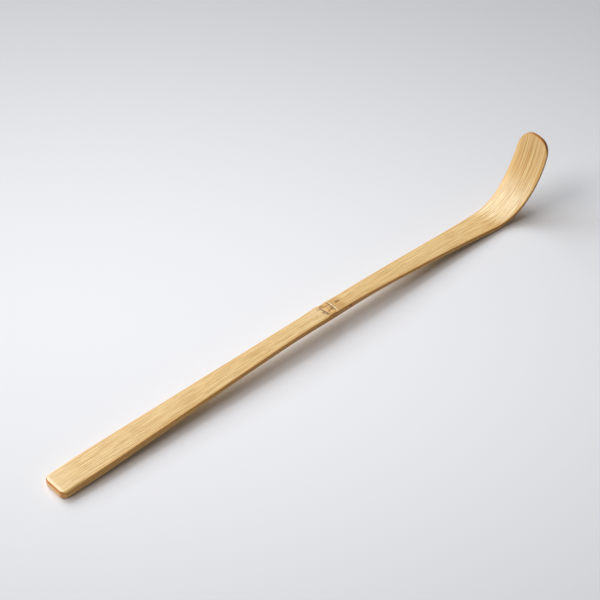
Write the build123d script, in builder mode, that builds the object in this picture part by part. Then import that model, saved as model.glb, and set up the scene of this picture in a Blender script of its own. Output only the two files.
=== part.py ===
from build123d import *
from math import asin, atan2, cos, sin
import os

# A chashaku, the scoop for powdered tea: one strip of bamboo, whittled to a taper and bent with steam.
# It lies as it is put down on a table, on the end of its handle and on the outside of its bend.
# Sizes are in millimetres and angles in degrees. "Along" is measured on the top face, from the handle's end.

# The top face seen from the side, from the handle's end to the tip of the blade
handle_run = 77.0
bow_radius = 512.0
bow_turn = 5.6
shaft_run = 33.7
bend_radius = 15.1
bend_turn = 50.8
blade_radius = 28.3
blade_turn = 39.4

# Thickness of the strip, square to its top face
end_thickness = 2.6
grip_thickness = 1.9
foot_thickness = 2.02
node_thickness = 2.1
waist_thickness = 1.71
shaft_thickness = 1.4
bend_thickness = 1.65
tip_thickness = 1.5

# Width of the strip
end_width = 8.4
node_width = 5.15
shaft_width = 6.6
neck_width = 8.6
blade_width = 10.8

# The outline's rounded ends, and the softened edges of the strip
end_corner_radius = 1.3
tip_round = 6.6
edge_radius = 0.4

# Both ends are cut to their outline this far in from the ends of the raw strip
end_trim = 0.2

# The cane's joint: two ridges across the top face, a dished band between them and a swelling underneath
node_along = 97.0
node_band = 3.7
swell_reach = 10.0
ridge_radius = 0.5
ridge_height = 0.2
band_dip = 0.16

# Where the flat underside of the handle ends, the slimmest place of the shaft, and the start of the full width
grip_along = 60.0
shaft_along = 133.0
blade_along = 182.0

# The top face in the side view: x along the handle and y up, with the handle's end at the origin
with BuildLine() as top_line:
    handle = Line((0, 0), (handle_run, 0))
    bow = JernArc(handle @ 1, handle % 1, bow_radius, -bow_turn)
    shaft = Line(bow @ 1, bow @ 1 + (bow % 1) * shaft_run)
    bend = JernArc(shaft @ 1, shaft % 1, bend_radius, bend_turn)
    blade = JernArc(bend @ 1, bend % 1, blade_radius, blade_turn)
top_face = top_line.wire()
neck_along = handle.length + bow.length + shaft.length
tip_along = top_face.length


def under(along, depth):
    """The point at a depth below the top face, square to it."""
    onward = top_face.tangent_at(along, PositionMode.LENGTH)
    return top_face.position_at(along, PositionMode.LENGTH) + onward.rotate(Axis.Z, -90) * depth


# The table touches the rounded heel under the handle's end and the outside of the bend
tip_back = under(tip_along, tip_thickness)
heel_centre = Vector(end_trim + edge_radius, edge_radius - end_thickness)
bend_outer_radius = bend_radius + bend_thickness
heel_to_bend = bend.arc_center - heel_centre
climb = asin((bend_outer_radius - edge_radius) / heel_to_bend.length)
table_angle = atan2(heel_to_bend.Y, heel_to_bend.X) - climb

# The side view stands on the table, with the origin under the middle of the scoop's length
level = Plane(origin=(0, 0, 0), x_dir=(cos(table_angle), 0, -sin(table_angle)), z_dir=(0, -1, 0))
half_length = (level.from_local_coords(tip_back).X - end_trim) / 2
stand_height = edge_radius - level.from_local_coords(heel_centre).Z
side_view = Plane(
    origin=(-half_length - end_trim, 0, stand_height), x_dir=level.x_dir, z_dir=level.z_dir
)


def plan(along, width):
    """The point of the plan outline at half a width, over a place along the strip."""
    on_top = side_view.from_local_coords(top_face.position_at(along, PositionMode.LENGTH))
    return (on_top.X, width / 2)


with BuildPart() as scoop:
    # The bent strip from the side, split off wider than it will be
    with BuildSketch(side_view.offset(-blade_width)):
        with BuildLine():
            add(top_line.line)
            Line(blade @ 1, tip_back)
            grip_under = Line(under(0, end_thickness), under(grip_along, grip_thickness))
            shaft_under = Spline(
                grip_under @ 1,
                under(node_along - swell_reach, foot_thickness),
                under(node_along, node_thickness),
                under(node_along + swell_reach, waist_thickness),
                under(shaft_along, shaft_thickness),
                under(neck_along, bend_thickness),
                tangents=(grip_under % 1, shaft % 1),
            )
            bend_under = JernArc(shaft_under @ 1, shaft % 1, bend_outer_radius, bend_turn)
            TangentArc(bend_under @ 1, tip_back, tangent=bend_under % 1)
            Line(grip_under @ 0, handle @ 0)
        make_face()
    extrude(amount=2 * blade_width)

    # The outline from above, waisted at the joint and widest at the blade
    with BuildSketch(Plane.XY.offset(-half_length)):
        with BuildLine():
            flank = Spline(
                (-half_length, end_width / 2),
                plan(node_along, node_width),
                plan(shaft_along, shaft_width),
                plan(neck_along, neck_width),
                plan(blade_along, blade_width),
                tangents=((1, 0), (1, 0)),
            )
            Line((-half_length, 0), flank @ 0)
            Polyline(flank @ 1, (half_length, blade_width / 2), (half_length, 0))
            mirror(about=Plane.XZ)
        make_face()
        fillet(vertices().group_by(Axis.X)[0], end_corner_radius)
    extrude(amount=2 * half_length, mode=Mode.INTERSECT)

    # The blade from the front, with its tip cut to half an ellipse
    tip_height = side_view.from_local_coords(blade @ 1).Z - end_trim
    with BuildSketch(Plane.YZ.offset(-2 * half_length)):
        with BuildLine():
            tip_arc = EllipticalCenterArc((0, tip_height - tip_round), blade_width / 2, tip_round, arc_size=180)
            Polyline(
                tip_arc @ 1,
                (-blade_width / 2, -half_length),
                (blade_width / 2, -half_length),
                tip_arc @ 0,
            )
        make_face()
    extrude(amount=4 * half_length, mode=Mode.INTERSECT)

    # Softened edges, right round the top face and right round the underside
    cut_ends = faces().sort_by(Axis.X)[:1] + faces().sort_by(Axis.Z)[-1:]
    broad_faces = faces().filter_by(lambda face: abs(face.normal_at().Y) < 0.001) - cut_ends
    flank_edges = broad_faces.edges().filter_by(Axis.Y, reverse=True)
    fillet(flank_edges + cut_ends.edges().filter_by(Axis.Y), edge_radius)

    # The joint's band, dished from side to side between the two ridges
    dish_half = node_band / 2 - ridge_radius
    dish_radius = (dish_half**2 + band_dip**2) / (2 * band_dip)
    with BuildSketch(side_view.offset(-node_width)):
        with Locations(under(node_along, band_dip - dish_radius)):
            Circle(dish_radius)
    extrude(amount=2 * node_width, mode=Mode.SUBTRACT)

    # The two ridges, half sunk in the top face and ending at its softened edges
    ridge_half = node_width / 2 - edge_radius
    with BuildSketch(side_view.offset(-ridge_half)):
        for ridge_along in (node_along - node_band / 2, node_along + node_band / 2):
            with Locations(under(ridge_along, ridge_radius - ridge_height)):
                Circle(ridge_radius)
    extrude(amount=2 * ridge_half)

os.makedirs("parts", exist_ok=True)
scoop.part.label = "scoop"
export_step(scoop.part, "parts/scoop.step")
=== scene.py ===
from math import cos, exp, pi, radians, sin

import bmesh
import bpy
import numpy as np
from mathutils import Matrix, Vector, noise


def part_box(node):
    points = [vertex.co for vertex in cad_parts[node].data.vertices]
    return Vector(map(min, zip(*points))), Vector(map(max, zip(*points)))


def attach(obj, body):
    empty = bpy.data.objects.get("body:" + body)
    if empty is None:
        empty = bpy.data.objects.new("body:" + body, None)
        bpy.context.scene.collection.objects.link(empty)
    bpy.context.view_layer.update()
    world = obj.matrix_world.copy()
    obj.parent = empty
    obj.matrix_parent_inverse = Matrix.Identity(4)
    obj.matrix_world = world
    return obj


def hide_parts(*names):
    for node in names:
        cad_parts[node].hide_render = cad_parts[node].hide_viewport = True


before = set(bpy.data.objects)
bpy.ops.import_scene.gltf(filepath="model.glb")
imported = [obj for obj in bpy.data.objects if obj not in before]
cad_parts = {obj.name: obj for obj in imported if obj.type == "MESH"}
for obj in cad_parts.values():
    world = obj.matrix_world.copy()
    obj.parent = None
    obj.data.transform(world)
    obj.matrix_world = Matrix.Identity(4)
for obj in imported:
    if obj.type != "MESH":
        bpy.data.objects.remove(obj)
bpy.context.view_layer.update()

# The blank of the scoop: one strip split from a cane of bamboo, with the cane's skin on top. It starts straight,
# of even width and thickness, with its corners cut round and its edges rubbed soft. Sizes are in millimetres.
# Places along it are counted from a line that lies end_trim before the heel of the solid.
millimetre = 0.001
end_trim = 0.2
strip_start = -0.1
strip_end = 193.39
blank_width = 10.8
blank_thickness = 2.0
heel_corner = 1.9
tip_round = 6.6
near_shoulder = 0.12
rubbed_edge = 0.6
corner_gap = 0.01
tip_half = blank_width / 2
tip_base = strip_end - tip_round
blank_end = tip_base + tip_half
blank_length = blank_end - strip_start

strip = bmesh.new()
bmesh.ops.create_cube(strip, size=1.0)
bmesh.ops.scale(strip, vec=(blank_length, blank_width, blank_thickness), verts=strip.verts)
bmesh.ops.translate(
    strip, vec=(strip_start + blank_length / 2, 0, -blank_thickness / 2), verts=strip.verts
)
uprights = [edge for edge in strip.edges if abs(edge.verts[0].co.z - edge.verts[1].co.z) > rubbed_edge]
heel_edges = [edge for edge in uprights if edge.verts[0].co.x < tip_base]
tip_edges = [edge for edge in uprights if edge.verts[0].co.x > tip_base]
bmesh.ops.bevel(
    strip, geom=heel_edges, offset=heel_corner, segments=10, profile=0.5, affect="EDGES", material=-1
)
bmesh.ops.bevel(
    strip, geom=tip_edges, offset=tip_half - corner_gap, segments=22, profile=0.5, affect="EDGES", material=-1
)
strip.normal_update()
broad_edges = [
    edge for edge in strip.edges
    if sum(abs(face.normal.z) > 0.5 for face in edge.link_faces) == 1
]
bmesh.ops.bevel(
    strip, geom=broad_edges, offset=rubbed_edge, segments=5, profile=0.5, affect="EDGES", material=-1
)


def saw(blank, direction, places):
    """Cuts through the whole blank at each place along a direction."""
    for place in places:
        everything = blank.verts[:] + blank.edges[:] + blank.faces[:]
        bmesh.ops.bisect_plane(
            blank, geom=everything, dist=cut_snap, plane_co=direction * place, plane_no=direction
        )


side_cuts = (-1.3, -1.0, -0.7)
face_cuts = 21
face_margin = 0.65
heel_cuts = (0.85, 1.2, 1.7, 2.3)
tip_cuts_start = tip_base - 0.2
tip_cuts_apart = 0.3
long_cuts = 520
cut_snap = 0.0001
sliver = 0.002
along_it, across_it, through_it = Vector((1, 0, 0)), Vector((0, 1, 0)), Vector((0, 0, 1))
saw(strip, through_it, side_cuts)
saw(strip, across_it, np.linspace(-tip_half + face_margin, tip_half - face_margin, face_cuts))
saw(strip, along_it, heel_cuts)
saw(strip, along_it, np.arange(tip_cuts_start, blank_end - rubbed_edge, tip_cuts_apart))
bmesh.ops.remove_doubles(strip, verts=strip.verts, dist=sliver)
long_edges = [edge for edge in strip.edges if edge.calc_length() > blank_length / 2]
bmesh.ops.subdivide_edges(strip, edges=long_edges, cuts=long_cuts, use_grid_fill=True)
strip.normal_update()

# The whittled strip: thickest at the heel and thinnest at the tip of the blade, narrowest at the cane's joint and
# widest at the blade. The knife leaves the skin side a little crowned and not quite even.
crown = 0.1
unevenness = 0.035
uneven_along = 0.09
uneven_across = 0.35
skin_from, skin_to = 0.3, 0.9
flank_edge = 0.16
soft_heel_from, soft_heel_to = 4.0, 12.0
heel_droop = 0.1
heel_droop_run = 4.0
heel_margin = 1.5
heel_margin_from, heel_margin_to = 2.4, 14.0


def flowing(stations, first_slope=0.0, last_slope=0.0):
    """A curve that flows through the (place, value) stations without a kink."""
    places, values = np.array(stations).T
    gaps = np.diff(places)
    rises = np.diff(values) / gaps
    count = len(places)
    weights = np.eye(count)
    wanted = np.zeros(count)
    wanted[0], wanted[-1] = first_slope, last_slope
    for k in range(1, count - 1):
        weights[k, k - 1] = 1 / gaps[k - 1]
        weights[k, k] = 2 / gaps[k - 1] + 2 / gaps[k]
        weights[k, k + 1] = 1 / gaps[k]
        wanted[k] = 3 * (rises[k - 1] / gaps[k - 1] + rises[k] / gaps[k])
    slopes = np.linalg.solve(weights, wanted)

    def value_at(place):
        k = int(np.clip(np.searchsorted(places, place) - 1, 0, count - 2))
        t = (min(max(place, places[0]), places[-1]) - places[k]) / gaps[k]
        return float(
            values[k] * (1 + 2 * t) * (1 - t) ** 2
            + values[k + 1] * (3 - 2 * t) * t**2
            + slopes[k] * gaps[k] * t * (1 - t) ** 2
            + slopes[k + 1] * gaps[k] * (t - 1) * t**2
        )

    return value_at


def ease(value, low, high):
    """Rises smoothly from 0 at low to 1 at high."""
    t = min(max((value - low) / (high - low), 0.0), 1.0)
    return t * t * (3 - 2 * t)


width_at = flowing(
    ((0.2, 8.4), (97.0, 5.15), (133.0, 6.6), (160.7, 8.6), (182.0, 10.8), (193.7, 10.8))
)
thickness_at = flowing(
    (
        (0.0, 2.6), (30.0, 2.25), (60.0, 1.9), (87.0, 2.02), (97.0, 2.1), (107.0, 1.71), (133.0, 1.4),
        (160.7, 1.45), (174.1, 1.3), (193.7, 1.05),
    ),
    first_slope=-0.0117,
)

# The joint of the cane crosses the strip as a band between two ridges: the scar where the sheath sat, with torn
# pits beside it, and the crisp ring above it. The band between is rough, sunk and marked by old root buds.
# Each scar runs from one place to another, given along and across, with its spread and its strength.
sheath_scar = 95.15
sheath_spread = 0.24
sheath_height = 0.13
upper_ring = 98.9
ring_spread = 0.17
ring_height = 0.2
band_depth = 0.12
band_roughness = 0.06
scar_depth = 0.16
joint_middle = 97.5
joint_reach = 7.0
ridge_waver = 0.1
scars = (
    ((94.70, 1.95), (94.76, 1.35), 0.16, 0.7),
    ((94.98, -0.35), (95.02, -0.85), 0.22, 1.0),
    ((95.12, -1.45), (95.2, -1.8), 0.17, 0.9),
    ((95.1, 1.3), (95.2, -0.4), 0.11, 0.8),
    ((95.56, 1.9), (95.73, -0.1), 0.16, 1.0),
    ((95.73, -0.1), (96.0, -1.75), 0.18, 1.0),
    ((96.0, 2.2), (96.6, 1.4), 0.2, 0.7),
    ((96.6, 1.4), (97.8, 1.15), 0.2, 0.7),
    ((96.9, -0.72), (98.2, -0.8), 0.16, 0.85),
    ((98.0, -0.15), (98.05, -1.05), 0.15, 0.8),
    ((98.62, 1.95), (98.7, 1.55), 0.2, 0.7),
    ((98.5, 1.6), (98.5, -1.7), 0.17, 0.85),
    ((99.28, 1.7), (99.28, -2.0), 0.14, 0.6),
    ((97.2, 0.35), (97.5, 0.1), 0.12, 0.35),
    ((96.4, -1.9), (96.9, -1.5), 0.14, 0.35),
    ((100.6, 0.62), (101.7, 0.5), 0.22, 0.95),
    ((101.7, 0.5), (102.9, 0.62), 0.1, 0.4),
    ((92.1, -0.15), (92.9, -0.2), 0.12, 0.4),
)


def scar_at(along, across):
    """How deep in a scar a place on the skin is, from 0 to 1."""
    deepest = 0.0
    for begin, end, spread, strength in scars:
        run = Vector(end) - Vector(begin)
        away = Vector((along, across)) - Vector(begin)
        t = min(max(away.dot(run) / run.length_squared, 0.0), 1.0)
        gap = (away - run * t).length
        deepest = max(deepest, strength * exp(-((gap / spread) ** 2)))
    return deepest


def joint_at(along, across):
    """The lift of the skin at the joint, and the marks there: scar, rough band and pale crest."""
    waver = ridge_waver * noise.noise(Vector((0.0, 1.1 * across, 3.0)))
    from_sheath = along - sheath_scar - waver
    from_ring = along - upper_ring - 0.4 * waver
    near = ease(-across, -1.2, 0.6)
    sheath = exp(-((from_sheath / sheath_spread) ** 2)) * (0.45 + 0.55 * near)
    ring = exp(-((from_ring / ring_spread) ** 2)) * ease(-across, -2.0, -1.4)
    past_sheath = ease(along, sheath_scar, sheath_scar + 0.5)
    band = past_sheath * ease(-along, -upper_ring, -upper_ring + 0.4)
    rough = noise.noise(Vector((1.3 * along, 1.6 * across, 7.0)))
    scar = scar_at(along, across)
    ridges = sheath_height * sheath + ring_height * ring
    lift = ridges + band * (band_roughness * rough - band_depth) - scar_depth * scar
    return lift, (scar, band, max(0.4 * sheath, ring) * (1 - scar))


far_bulge = (
    (38.0, 0.0), (60.0, 0.15), (88.0, 0.06), (94.8, 0.36), (95.6, 0.2), (97.6, 0.22), (98.8, 0.34),
    (99.6, 0.08), (104.0, 0.0),
)
near_bulge = (
    (34.0, 0.0), (56.0, 0.17), (88.0, 0.17), (94.7, 0.26), (95.3, 0.1), (96.2, -0.18), (97.9, -0.2),
    (98.8, 0.04), (99.6, 0.0), (142.0, 0.0), (160.0, 0.2), (175.0, 0.36), (186.0, 0.36), (193.7, 0.3),
)
skin_bulge_end = 120.0


def edge_at(along, side):
    """How far an edge stands out from the plain taper, along the handle, at the joint and along the blade."""
    places, bulges = np.array(far_bulge if side > 0 else near_bulge).T
    return float(np.interp(along, places, bulges))


# The strip is softened with steam and bent: the handle rises straight, the shaft bows down from the joint to the
# table, and the blade curls up from there. It lies on its heel and on the outside of the bend.
lie = radians(1.7256)
bends = ((77.0, 0.0), (50.042, -5.6), (33.7, 0.0), (13.388, 50.8), (19.461, 39.4))


def bent(along, height):
    """The place in the side view of a point over the top line of the strip."""
    place, heading, left = Vector((0.0, 0.0)), lie, along
    for run, turn in bends:
        here = left if (run, turn) == bends[-1] else min(left, run)
        swing = radians(turn) * here / run
        chord = here if swing == 0 else here * sin(swing / 2) / (swing / 2)
        place += chord * Vector((cos(heading + swing / 2), sin(heading + swing / 2)))
        heading += swing
        left -= here
        if left <= 0:
            break
    return place + height * Vector((-sin(heading), cos(heading)))


def softness_at(along):
    """How far the edges are rounded: broadly at the heel, less along the flanks and the blade."""
    return rubbed_edge + (flank_edge - rubbed_edge) * ease(along, soft_heel_from, soft_heel_to)


def tighter(from_tip):
    """How the tip is drawn out from its centre, so that its edge is rounded no more than the flanks."""
    if from_tip > rubbed_edge:
        return (tip_half - flank_edge) / (tip_half - rubbed_edge)
    return (tip_half - from_tip * flank_edge / rubbed_edge) / (tip_half - from_tip)


# The even cuts are crowded towards the joint, which has the finest forms.
even_places = (heel_cuts[-1], 66.0, 112.0, tip_cuts_start)
crowded_places = (heel_cuts[-1], 91.0, 103.5, tip_cuts_start)
flat_layer = strip.verts.layers.float_vector.new("flat")
faced_layer = strip.verts.layers.float_vector.new("faced")
mark_layer = strip.verts.layers.float_vector.new("mark")
inset_layer = strip.verts.layers.float.new("inset")
for vert in strip.verts:
    vert[faced_layer] = vert.normal
    block = vert.co.copy()
    along = block.x
    if along > tip_base:
        from_centre = Vector((along - tip_base, block.y))
        from_tip = tip_half - from_centre.length
        diagonal = 2 * from_centre.x * min(from_centre.y, 0.0) / from_centre.length_squared
        fuller = 1 + near_shoulder * diagonal**2
        along = tip_base + from_centre.x * tip_round / tip_half * tighter(from_tip) * fuller
    elif along > heel_cuts[-1]:
        along = float(np.interp(along, even_places, crowded_places))
    soft = softness_at(along)
    thick = thickness_at(along)
    depth = -block.z
    if depth < rubbed_edge:
        depth *= soft / rubbed_edge
    elif depth > blank_thickness - rubbed_edge:
        depth = thick - (blank_thickness - depth) * soft / rubbed_edge
    else:
        squeeze = (thick - 2 * soft) / (blank_thickness - 2 * rubbed_edge)
        depth = soft + (depth - rubbed_edge) * squeeze
    upper = 1 - ease(depth, skin_from, skin_to)
    side = 1.0 if block.y > 0 else -1.0
    half = width_at(along) / 2 + edge_at(along, side) * (upper if along < skin_bulge_end else 1.0)
    kept = rubbed_edge + heel_margin * (1 - ease(along, heel_margin_from, heel_margin_to))
    from_edge = tip_half - abs(block.y)
    if block.x > tip_base:
        inset = half - abs(block.y) * tighter(from_tip) * fuller * half / tip_half
    elif from_edge < rubbed_edge:
        inset = from_edge * soft / rubbed_edge
    elif from_edge < kept:
        inset = soft + from_edge - rubbed_edge
    else:
        inset = half - (tip_half - from_edge) * (half - soft - kept + rubbed_edge) / (tip_half - kept)
    across = side * (half - inset)
    lift = -crown * (across / half) ** 2 * upper
    wavering = noise.noise(Vector((uneven_along * along, uneven_across * across, block.z)))
    lift += unevenness * wavering * upper
    lift -= heel_droop * max(1 - along / heel_droop_run, 0.0) ** 2 * upper
    if abs(along - joint_middle) < joint_reach:
        joint_lift, vert[mark_layer] = joint_at(along, across)
        lift += joint_lift * upper
    if block.x > tip_base:
        inset = tip_half - (tip_half - from_tip) * tighter(from_tip)
    vert[inset_layer] = min(inset, along - strip_start)
    vert[flat_layer] = (along, across, depth)
    spot = bent(along, lift - depth)
    vert.co = (spot.x, across, spot.y)

bmesh.ops.scale(strip, vec=(millimetre, millimetre, millimetre), verts=strip.verts)
solid_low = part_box("scoop")[0]
strip_bottom = min(vert.co.z for vert in strip.verts)
seat = (solid_low.x - millimetre * end_trim, 0, solid_low.z - strip_bottom)
bmesh.ops.translate(strip, vec=seat, verts=strip.verts)
for face in strip.faces:
    face.smooth = True
scoop_mesh = bpy.data.meshes.new("scoop_strip")
strip.to_mesh(scoop_mesh)
strip.free()
scoop = bpy.data.objects.new("scoop_strip", scoop_mesh)
bpy.context.collection.objects.link(scoop)


# The finish is bare bamboo, rubbed to a satin polish: pale honey skin with fine fibres and short dark flecks,
# browner where the edges are rubbed through the skin, and striped with darker bundles on the cut sides.
def tone(red, green, blue):
    """A colour given as it looks on a screen."""
    def linear(level):
        return level / 12.92 if level <= 0.04045 else ((level + 0.055) / 1.055) ** 2.4
    return (linear(red / 255), linear(green / 255), linear(blue / 255), 1.0)


bamboo = bpy.data.materials.new("polished_bamboo")
bamboo.use_nodes = True
tree = bamboo.node_tree
shader = tree.nodes["Principled BSDF"]


def put(kind, inputs, **settings):
    """Adds a node to the tree in hand, with each input a value or another node's output."""
    made = tree.nodes.new(kind)
    for name, value in settings.items():
        setattr(made, name, value)
    for socket, value in inputs.items():
        if isinstance(value, bpy.types.NodeSocket):
            tree.links.new(value, made.inputs[socket])
        else:
            made.inputs[socket].default_value = value
    return made


def fibres(stretch, shift, detail):
    """Noise drawn out along the strip, as many to the millimetre as the stretch says."""
    laid = put("ShaderNodeMapping", {"Vector": flat, "Scale": stretch, "Location": shift}).outputs[0]
    return put("ShaderNodeTexNoise", {"Vector": laid, "Scale": 1.0, "Detail": detail}).outputs["Fac"]


def between(value, low, high, least=0.0, most=1.0):
    """The least amount below low, the most above high and smooth in between."""
    ends = {"Value": value, "From Min": low, "From Max": high, "To Min": least, "To Max": most}
    return put("ShaderNodeMapRange", ends, interpolation_type="SMOOTHSTEP").outputs["Result"]


def times(one, other):
    return put("ShaderNodeMath", {0: one, 1: other}, operation="MULTIPLY").outputs[0]


def over(under, colour, amount):
    """Lays a colour over another, as much as the amount says."""
    return put("ShaderNodeMix", {0: amount, 6: under, 7: colour}, data_type="RGBA").outputs[2]


flat = put("ShaderNodeAttribute", {}, attribute_name="flat").outputs["Vector"]
faced = put("ShaderNodeAttribute", {}, attribute_name="faced").outputs["Vector"]
mark = put("ShaderNodeAttribute", {}, attribute_name="mark").outputs["Vector"]
inset = put("ShaderNodeAttribute", {}, attribute_name="inset").outputs["Fac"]
along, across, depth = put("ShaderNodeSeparateXYZ", {"Vector": flat}).outputs
tipward, farward, upward = put("ShaderNodeSeparateXYZ", {"Vector": faced}).outputs
scarred, in_band, on_crest = put("ShaderNodeSeparateXYZ", {"Vector": mark}).outputs
painted_near_light = between(farward, -0.15, -0.45)
endward = between(tipward, -0.2, -0.5)

fine = fibres((0.12, 3.6, 3.6), (0.0, 0.0, 0.0), 3.0)
streak = fibres((0.03, 1.5, 1.5), (3.0, 7.0, 0.0), 3.0)
mottle = fibres((0.22, 0.7, 0.7), (2.0, 6.0, 0.0), 3.0)
patch = fibres((0.05, 0.2, 0.2), (9.0, 2.0, 0.0), 2.0)
dash = fibres((0.24, 3.8, 3.8), (5.0, 1.0, 0.0), 2.0)
fleck = fibres((0.7, 4.0, 4.0), (1.0, 4.0, 0.0), 1.0)
line = fibres((0.04, 4.2, 4.2), (7.0, 3.0, 0.0), 0.5)

# The skin: fibres, patches, dashes and flecks
skin_tone = over(tone(232, 198, 136), tone(239, 209, 152), between(streak, 0.36, 0.64))
skin_tone = over(skin_tone, tone(240, 213, 162), times(between(patch, 0.45, 0.75), 0.3))
skin_tone = over(skin_tone, tone(206, 164, 99), times(between(mottle, 0.5, 0.72), 0.16))
skin_tone = over(skin_tone, tone(190, 144, 80), times(between(fine, 0.46, 0.6), 0.6))
skin_tone = over(skin_tone, tone(180, 134, 74), times(between(dash, 0.58, 0.7), 0.55))
skin_tone = over(skin_tone, tone(160, 114, 58), times(between(fleck, 0.68, 0.76), 0.6))

# The skin of the shaft, the bend and the blade, with longer lines, and of both ends; a painted highlight at the
# bend and near the heel, and painted light and shade on the blade
on_blade = between(along, 162.0, 176.0)
line_strength = between(along, 160.0, 176.0, least=0.25, most=0.85)
skin_tone = over(skin_tone, tone(200, 152, 86), times(between(line, 0.52, 0.59), line_strength))
skin_tone = over(skin_tone, tone(252, 226, 172), times(between(line, 0.47, 0.4), line_strength))
at_bend = times(between(along, 160.0, 165.0), between(along, 182.5, 172.0))
# Painted highlight: a pale sheen painted over the bend, broken up by the fibres
painted_bend_highlight = times(between(fine, 0.64, 0.42), 0.82)
skin_tone = over(skin_tone, tone(254, 236, 196), times(painted_bend_highlight, at_bend))
bend_fleck = fibres((0.45, 3.4, 3.4), (6.0, 3.0, 0.0), 1.0)
bend_flecked = times(between(bend_fleck, 0.58, 0.66), 0.35)
skin_tone = over(skin_tone, tone(184, 138, 78), times(bend_flecked, at_bend))
skin_tone = over(skin_tone, tone(226, 176, 102), times(between(along, 172.0, 184.0), 0.14))
# Painted shade: the blade's skin is painted darker, as less light falls on its face
skin_tone = over(skin_tone, tone(168, 134, 80), times(on_blade, 0.28))
# Painted light: the far half of the blade is painted paler, as it faces the light
painted_far_light = times(between(across, 1.5, 5.0), on_blade)
skin_tone = over(skin_tone, tone(252, 216, 156), times(painted_far_light, 0.4))
skin_tone = over(skin_tone, tone(250, 214, 152), between(along, 187.0, 192.0, most=0.14))
on_shaft = times(between(along, 103.0, 112.0), between(along, 164.0, 158.0))
skin_tone = over(skin_tone, tone(250, 220, 168), times(on_shaft, 0.06))
by_joint = times(between(along, 84.0, 93.0), between(along, 95.6, 95.0))
bleached = times(by_joint, between(mottle, 0.62, 0.42))
skin_tone = over(skin_tone, tone(244, 218, 174), times(bleached, 0.4))
# Painted highlight: the skin is paler towards the heel end, where its droop catches the light
skin_tone = over(skin_tone, tone(242, 217, 172), times(between(along, 9.0, 1.0), 0.3))

# The joint: its band, the skin above the ring, the worn crests and the scars
band_grain = fibres((0.9, 1.6, 1.6), (1.0, 0.0, 4.0), 3.0)
band_tone = over(tone(236, 194, 130), tone(190, 136, 76), between(band_grain, 0.42, 0.64))
above_ring = times(between(along, 98.9, 99.6), between(along, 104.0, 100.5))
skin_tone = over(skin_tone, tone(196, 148, 82), times(above_ring, 0.6))
skin_tone = over(skin_tone, band_tone, times(in_band, 0.85))
crest_break = fibres((0.4, 2.4, 2.4), (0.0, 8.0, 2.0), 1.0)
skin_tone = over(skin_tone, tone(254, 238, 200), times(on_crest, between(crest_break, 0.38, 0.5)))
skin_tone = over(skin_tone, tone(84, 50, 24), scarred)

# The skin's rubbed edges, with the near edge painted paler as a painted highlight, and a painted highlight line
# along the heel
edge_tone = over(tone(222, 176, 106), tone(246, 206, 130), painted_near_light)
skin_tone = over(skin_tone, edge_tone, times(between(inset, 0.6, 0.25), 0.8))
# Painted highlight: a pale line along the heel's top edge
painted_heel_highlight = times(between(along, 1.3, 0.9), between(inset, 0.35, 0.6))
skin_tone = over(skin_tone, tone(254, 238, 204), times(painted_heel_highlight, 0.7))

# The cut sides with their bundles of fibres and a knot, the sides of the blade and the heel's end
stripe = fibres((0.006, 0.3, 2.2), (2.0, 0.0, 5.0), 1.0)
side_tone = over(tone(190, 132, 62), tone(244, 198, 122), between(stripe, 0.42, 0.55))
side_tone = over(tone(214, 146, 68), side_tone, between(depth, 0.3, 0.8))
side_line = fibres((0.004, 0.2, 3.2), (4.0, 0.0, 1.0), 0.0)
side_tone = over(side_tone, tone(150, 98, 44), times(between(side_line, 0.52, 0.62), 0.6))
knot = (103.4, -2.6, 0.7)
from_knot = put("ShaderNodeVectorMath", {0: flat, 1: knot}, operation="DISTANCE").outputs["Value"]
side_tone = over(side_tone, tone(158, 106, 52), between(from_knot, 0.85, 0.3))
blade_side = over(tone(255, 208, 126), tone(160, 96, 30), between(depth, 0.4, 0.7))
blade_side = over(blade_side, tone(172, 112, 46), between(tipward, 0.25, 0.6))
side_tone = over(side_tone, blade_side, between(along, 160.0, 172.0))
end_grain = fibres((1.0, 5.0, 5.0), (0.0, 0.0, 0.0), 1.0)
end_tone = over(tone(214, 172, 120), tone(230, 192, 142), between(end_grain, 0.4, 0.6))
mid_end = times(between(depth, 0.45, 0.8), between(tipward, -0.88, -0.99))
end_tone = over(tone(204, 142, 72), end_tone, mid_end)
side_tone = over(side_tone, end_tone, between(tipward, -0.45, -0.8))

# The rims between side and skin, the near rim painted paler and the far rim darker as painted light and shade, and
# the underside
rim_tone = over(tone(208, 158, 86), tone(252, 212, 134), painted_near_light)
rim_tone = over(rim_tone, tone(186, 122, 52), endward)
rim_tone = over(rim_tone, tone(192, 140, 78), between(tipward, 0.1, 0.4))
wood_tone = over(side_tone, rim_tone, between(upward, 0.35, 0.65))
wood_tone = over(wood_tone, skin_tone, between(upward, 0.85, 0.985))
under_tone = over(tone(206, 166, 106), tone(226, 190, 132), between(fine, 0.4, 0.65))
wood_tone = over(wood_tone, under_tone, between(upward, -0.6, -0.95))

# The raised grain and the polish
raised = put("ShaderNodeMath", {0: fine, 1: times(fleck, -0.4)}, operation="ADD").outputs[0]
grain = put("ShaderNodeBump", {"Strength": 0.25, "Distance": 0.00005, "Height": raised})
polish = put(
    "ShaderNodeMapRange",
    {"Value": fine, "From Min": 0.3, "From Max": 0.7, "To Min": 0.34, "To Max": 0.46},
)
tree.links.new(wood_tone, shader.inputs["Base Color"])
tree.links.new(grain.outputs["Normal"], shader.inputs["Normal"])
tree.links.new(polish.outputs["Result"], shader.inputs["Roughness"])
shader.inputs["Specular IOR Level"].default_value = 0.42
scoop_mesh.materials.append(bamboo)
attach(scoop, "root")
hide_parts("scoop")
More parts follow.
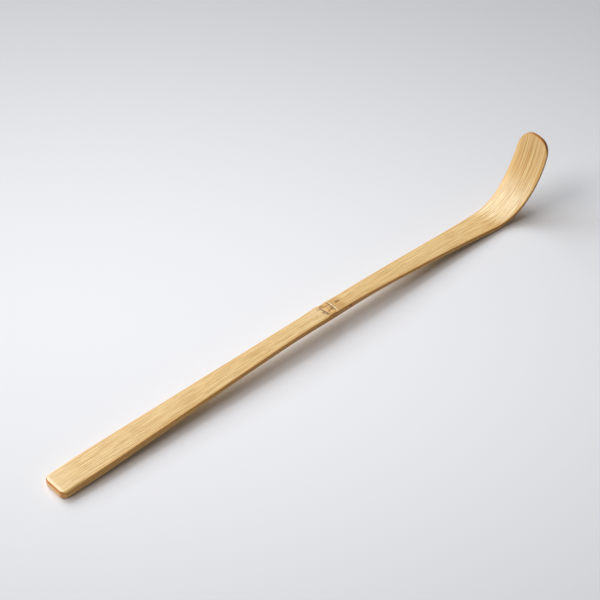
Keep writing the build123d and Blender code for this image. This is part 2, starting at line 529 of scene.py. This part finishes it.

# The table is a smooth white sheet, matt and much wider than the picture. Its tone is painted brightest to the left
# of the scoop and falling off to all sides: a painted pool of daylight.
table_size = 3.0
bright_spot = (-0.0273, 0.0215, 0.0)
falloff_side = 0.298
falloff_back = 0.205
falloff_turn = radians(-42.2)
falloff_rate = 1.4
sheet = bmesh.new()
bmesh.ops.create_grid(sheet, x_segments=1, y_segments=1, size=table_size / 2)
table_mesh = bpy.data.meshes.new("table_sheet")
sheet.to_mesh(table_mesh)
sheet.free()
table = bpy.data.objects.new("table_sheet", table_mesh)
bpy.context.collection.objects.link(table)
white = bpy.data.materials.new("white_sheet")
white.use_nodes = True
tree = white.node_tree
place = put("ShaderNodeTexCoord", {}).outputs["Object"]
spread = put(
    "ShaderNodeMapping",
    {
        "Vector": place,
        "Location": bright_spot,
        "Rotation": (0.0, 0.0, falloff_turn),
        "Scale": (falloff_side, falloff_back, 1.0),
    },
    vector_type="TEXTURE",
)
away = put("ShaderNodeVectorMath", {0: spread.outputs[0]}, operation="LENGTH").outputs["Value"]
squared = times(times(away, away), -falloff_rate)
painted_daylight = put("ShaderNodeMath", {0: squared}, operation="EXPONENT").outputs[0]
# Painted light: the sheet's tone follows the painted pool of daylight
sheet_tone = over(tone(168, 171, 177), tone(240, 243, 250), painted_daylight)
white_shader = tree.nodes["Principled BSDF"]
tree.links.new(sheet_tone, white_shader.inputs["Base Color"])
white_shader.inputs["Roughness"].default_value = 0.9
white_shader.inputs["Specular IOR Level"].default_value = 0.1
table_mesh.materials.append(white)


# Soft daylight comes from a wide window behind the scoop and from a side window to the left of it. The room is pale
# where it is seen or mirrored, and only a warm, dim fill in the shadows.
def softbox(name, place, across, high, watts, colour):
    """A rectangle of light that faces the scoop."""
    lamp = bpy.data.lights.new(name, "AREA")
    lamp.shape = "RECTANGLE"
    lamp.size = across
    lamp.size_y = high
    lamp.energy = watts
    lamp.color = colour
    holder = bpy.data.objects.new(name, lamp)
    holder.location = place
    holder.rotation_euler = (-holder.location).to_track_quat("-Z", "Y").to_euler()
    bpy.context.collection.objects.link(holder)


softbox("window", place=(-0.12, 1.96, 1.38), across=1.9, high=1.5, watts=59.5, colour=(0.94, 0.98, 1.0))
softbox("side_window", place=(-1.5, 0.87, 1.66), across=1.6, high=1.4, watts=33.0, colour=(1.0, 0.95, 0.9))
room = bpy.data.worlds.new("pale_room")
room.use_nodes = True
tree = room.node_tree
dim_fill = tree.nodes["Background"]
dim_fill.inputs["Color"].default_value = (1.0, 0.84, 0.68, 1.0)
dim_fill.inputs["Strength"].default_value = 0.15
pale_wall = put("ShaderNodeBackground", {"Color": tone(186, 189, 195), "Strength": 1.0})
rays = put("ShaderNodeLightPath", {}).outputs
seen = put("ShaderNodeMath", {0: rays["Is Camera Ray"], 1: rays["Is Glossy Ray"]}, operation="MAXIMUM")
seen = put("ShaderNodeMath", {0: seen.outputs[0], 1: rays["Is Transmission Ray"]}, operation="MAXIMUM")
walls = put("ShaderNodeMixShader", {0: seen.outputs[0], 1: dim_fill.outputs[0], 2: pale_wall.outputs[0]})
tree.links.new(walls.outputs[0], tree.nodes["World Output"].inputs["Surface"])
bpy.context.scene.world = room

# The camera looks down over the heel of the handle to the blade, through a long lens. Its place is the one from
# which the scoop has the outline of the photograph.
look_at = Vector((0.006427, 0.012114, 0.0))
distance = 0.57416
azimuth = radians(-42.229)
elevation = radians(42.18)
lens = bpy.data.cameras.new("long_lens")
lens.lens = 120.0
lens.sensor_width = 36.0
lens.clip_start = 0.01
camera = bpy.data.objects.new("long_lens", lens)
towards = Vector((sin(azimuth) * cos(elevation), -cos(azimuth) * cos(elevation), sin(elevation)))
camera.location = look_at + distance * towards
camera.rotation_euler = (pi / 2 - elevation, 0, azimuth)
bpy.context.collection.objects.link(camera)
bpy.context.scene.camera = camera
bpy.context.scene.view_settings.view_transform = "Standard"
